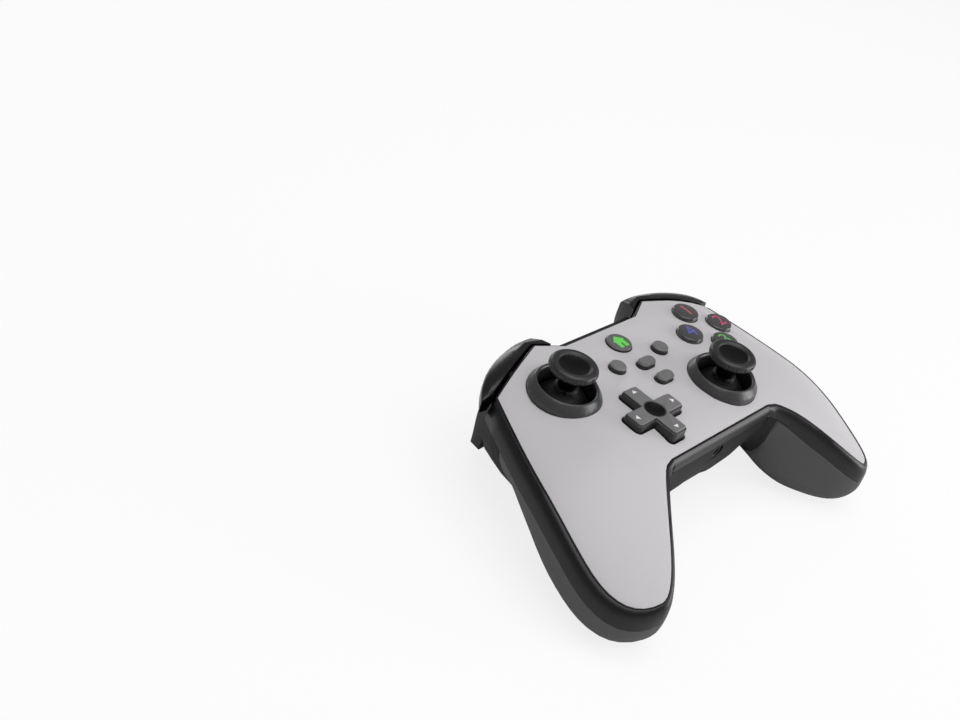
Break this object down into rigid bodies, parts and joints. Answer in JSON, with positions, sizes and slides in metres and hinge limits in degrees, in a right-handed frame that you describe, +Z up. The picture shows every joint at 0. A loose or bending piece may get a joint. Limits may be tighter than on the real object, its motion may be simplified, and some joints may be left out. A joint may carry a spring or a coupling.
{
  "type": "gamepad controller",
  "caption": "Two-handed gamepad with flared grips, offset thumb sticks, a rocking cross pad, domed face buttons, shoulder bumpers and hinged triggers.",
  "frame": {"origin": "middle of the base of the bounding box, on the ground below the middle of the housing", "axes": "+X to the player's right, +Y away from the player towards bumpers and charging socket, +Z up out of the face"},
  "size_m": [0.1564, 0.1015, 0.055],
  "materials": {
    "plate": "satin light grey",
    "band": "semi-gloss black",
    "rear": "fine matte dark grey",
    "grip": "fine matte dark grey",
    "bezel": "satin gunmetal",
    "cap": "matte rubber",
    "dome": "black",
    "pad": "satin grey",
    "button": "smoky gloss",
    "home": "satin grey",
    "small": "satin grey",
    "membrane": "matte rubber",
    "board": "green lacquer",
    "chip": "black",
    "cell": "wrapped cell",
    "pale": "plain moulded",
    "dark": "plain moulded",
    "steel": "brushed",
    "weight": "sintered"
  },
  "bodies": {
    "housing": {"face_plate": "plate", "front_shell": "band", "rear_cover": "rear", "left_grip": "grip", "right_grip": "grip", "bridge": "band", "left_bezel": "bezel", "right_bezel": "bezel", "left_stick_frame": "steel", "right_stick_frame": "steel", "left_stick_sensors": "board", "right_stick_sensors": "board", "pad_post": "pale", "button_membrane": "membrane", "pad_membrane": "membrane", "centre_membrane": "membrane", "main_board": "board", "board_chips": "chip", "battery": "cell", "left_motor": "steel", "right_motor": "steel", "motor_cradles": "dark", "bumper_pins": "steel", "bumper_switches": "chip", "trigger_pins": "steel", "trigger_brackets": "dark", "trigger_springs": "steel", "audio_socket": "dome", "usb_socket": "steel", "case_screws": "steel"},
    "left_saddle": {"left_saddle": "pale"},
    "left_spindle": {"left_spindle": "pale"},
    "left_arch": {"left_arch": "pale"},
    "left_stick": {"left_stick_cap": "cap", "left_stick_dome": "dome"},
    "right_saddle": {"right_saddle": "pale"},
    "right_spindle": {"right_spindle": "pale"},
    "right_arch": {"right_arch": "pale"},
    "right_stick": {"right_stick_cap": "cap", "right_stick_dome": "dome"},
    "pad_ball": {"pad_ball": "pale"},
    "cross_pad": {"cross_pad": "pad"},
    "button_top": {"button_top": "button"},
    "button_right": {"button_right": "button"},
    "button_bottom": {"button_bottom": "button"},
    "button_left": {"button_left": "button"},
    "home_button": {"home_button": "home"},
    "left_round_button": {"left_round_button": "small"},
    "right_round_button": {"right_round_button": "small"},
    "upper_oblong_button": {"upper_oblong_button": "small"},
    "lower_oblong_button": {"lower_oblong_button": "small"},
    "left_bumper": {"left_bumper": "band"},
    "right_bumper": {"right_bumper": "band"},
    "left_trigger": {"left_trigger": "band"},
    "right_trigger": {"right_trigger": "band"},
    "left_weight": {"left_weight": "weight"},
    "right_weight": {"right_weight": "weight"}
  },
  "joints": [
    {"name": "left_stick_pitch", "type": "hinge", "parent": "housing", "child": "left_saddle", "pos_m": [-0.039, 0.0222, 0.0347], "axis": [1, 0, 0], "range_deg": [-17, 17], "stiffness_Nm_per_rad": 0.05},
    {"name": "left_stick_roll", "type": "hinge", "parent": "left_saddle", "child": "left_spindle", "pos_m": [-0.039, 0.0222, 0.0347], "axis": [0, 1, 0], "range_deg": [-17, 17], "stiffness_Nm_per_rad": 0.05},
    {"name": "left_arch_turn", "type": "hinge", "parent": "housing", "child": "left_arch", "pos_m": [-0.039, 0.0222, 0.0347], "axis": [0, 1, 0], "range_deg": [-17, 17]},
    {"name": "left_stick_press", "type": "slide", "parent": "left_spindle", "child": "left_stick", "axis": [0, 0, -1], "range_m": [0, 0.0006], "stiffness_N_per_m": 3000, "springref_m": -0.0003},
    {"name": "right_stick_pitch", "type": "hinge", "parent": "housing", "child": "right_saddle", "pos_m": [0.0212, -0.0011, 0.0347], "axis": [1, 0, 0], "range_deg": [-17, 17], "stiffness_Nm_per_rad": 0.05},
    {"name": "right_stick_roll", "type": "hinge", "parent": "right_saddle", "child": "right_spindle", "pos_m": [0.0212, -0.0011, 0.0347], "axis": [0, 1, 0], "range_deg": [-17, 17], "stiffness_Nm_per_rad": 0.05},
    {"name": "right_arch_turn", "type": "hinge", "parent": "housing", "child": "right_arch", "pos_m": [0.0212, -0.0011, 0.0347], "axis": [0, 1, 0], "range_deg": [-17, 17]},
    {"name": "right_stick_press", "type": "slide", "parent": "right_spindle", "child": "right_stick", "axis": [0, 0, -1], "range_m": [0, 0.0006], "stiffness_N_per_m": 3000, "springref_m": -0.0003},
    {"name": "pad_pitch", "type": "hinge", "parent": "housing", "child": "pad_ball", "pos_m": [-0.0202, -0.0013, 0.0397], "axis": [1, 0, 0], "range_deg": [-6, 6], "stiffness_Nm_per_rad": 0.05, "deforming": ["pad_membrane"]},
    {"name": "pad_roll", "type": "hinge", "parent": "pad_ball", "child": "cross_pad", "pos_m": [-0.0202, -0.0013, 0.0397], "axis": [0, 1, 0], "range_deg": [-6, 6], "stiffness_Nm_per_rad": 0.05, "deforming": ["pad_membrane"]},
    {"name": "button_top_press", "type": "slide", "parent": "housing", "child": "button_top", "axis": [0, 0, -1], "range_m": [0, 0.0015], "stiffness_N_per_m": 400, "springref_m": -0.0005, "deforming": ["button_membrane"]},
    {"name": "button_right_press", "type": "slide", "parent": "housing", "child": "button_right", "axis": [0, 0, -1], "range_m": [0, 0.0015], "stiffness_N_per_m": 400, "springref_m": -0.0005, "deforming": ["button_membrane"]},
    {"name": "button_bottom_press", "type": "slide", "parent": "housing", "child": "button_bottom", "axis": [0, 0, -1], "range_m": [0, 0.0015], "stiffness_N_per_m": 400, "springref_m": -0.0005, "deforming": ["button_membrane"]},
    {"name": "button_left_press", "type": "slide", "parent": "housing", "child": "button_left", "axis": [0, 0, -1], "range_m": [0, 0.0015], "stiffness_N_per_m": 400, "springref_m": -0.0005, "deforming": ["button_membrane"]},
    {"name": "home_button_press", "type": "slide", "parent": "housing", "child": "home_button", "axis": [0, 0, -1], "range_m": [0, 0.0007], "stiffness_N_per_m": 500, "springref_m": -0.0004, "deforming": ["centre_membrane"]},
    {"name": "left_round_button_press", "type": "slide", "parent": "housing", "child": "left_round_button", "axis": [0, 0, -1], "range_m": [0, 0.0007], "stiffness_N_per_m": 500, "springref_m": -0.0004, "deforming": ["centre_membrane"]},
    {"name": "right_round_button_press", "type": "slide", "parent": "housing", "child": "right_round_button", "axis": [0, 0, -1], "range_m": [0, 0.0007], "stiffness_N_per_m": 500, "springref_m": -0.0004, "deforming": ["centre_membrane"]},
    {"name": "upper_oblong_button_press", "type": "slide", "parent": "housing", "child": "upper_oblong_button", "axis": [0, 0, -1], "range_m": [0, 0.0007], "stiffness_N_per_m": 500, "springref_m": -0.0004, "deforming": ["centre_membrane"]},
    {"name": "lower_oblong_button_press", "type": "slide", "parent": "housing", "child": "lower_oblong_button", "axis": [0, 0, -1], "range_m": [0, 0.0007], "stiffness_N_per_m": 500, "springref_m": -0.0004, "deforming": ["centre_membrane"]},
    {"name": "left_bumper_turn", "type": "hinge", "parent": "housing", "child": "left_bumper", "pos_m": [-0.028, 0.0474, 0.0367], "axis": [0, 0, 1], "range_deg": [0, 0.8], "stiffness_Nm_per_rad": 1.2, "springref_deg": -0.57},
    {"name": "right_bumper_turn", "type": "hinge", "parent": "housing", "child": "right_bumper", "pos_m": [0.028, 0.0474, 0.0367], "axis": [0, 0, -1], "range_deg": [0, 0.8], "stiffness_Nm_per_rad": 1.2, "springref_deg": -0.57},
    {"name": "left_trigger_pull", "type": "hinge", "parent": "housing", "child": "left_trigger", "pos_m": [-0.04125, 0.038, 0.0262], "axis": [-1, 0, 0], "range_deg": [0, 18], "stiffness_Nm_per_rad": 0.08, "springref_deg": -5.73},
    {"name": "right_trigger_pull", "type": "hinge", "parent": "housing", "child": "right_trigger", "pos_m": [0.04125, 0.038, 0.0262], "axis": [-1, 0, 0], "range_deg": [0, 18], "stiffness_Nm_per_rad": 0.08, "springref_deg": -5.73},
    {"name": "left_weight_spin", "type": "hinge", "parent": "housing", "child": "left_weight", "pos_m": [-0.05904, -0.02018, 0.01335], "axis": [1, 0, 0], "continuous": true},
    {"name": "right_weight_spin", "type": "hinge", "parent": "housing", "child": "right_weight", "pos_m": [0.05904, -0.02018, 0.01335], "axis": [1, 0, 0], "continuous": true}
  ],
  "couplings": [
    {"joint": "left_arch_turn", "follows": "left_stick_roll", "ratio": 1},
    {"joint": "right_arch_turn", "follows": "right_stick_roll", "ratio": 1}
  ]
}
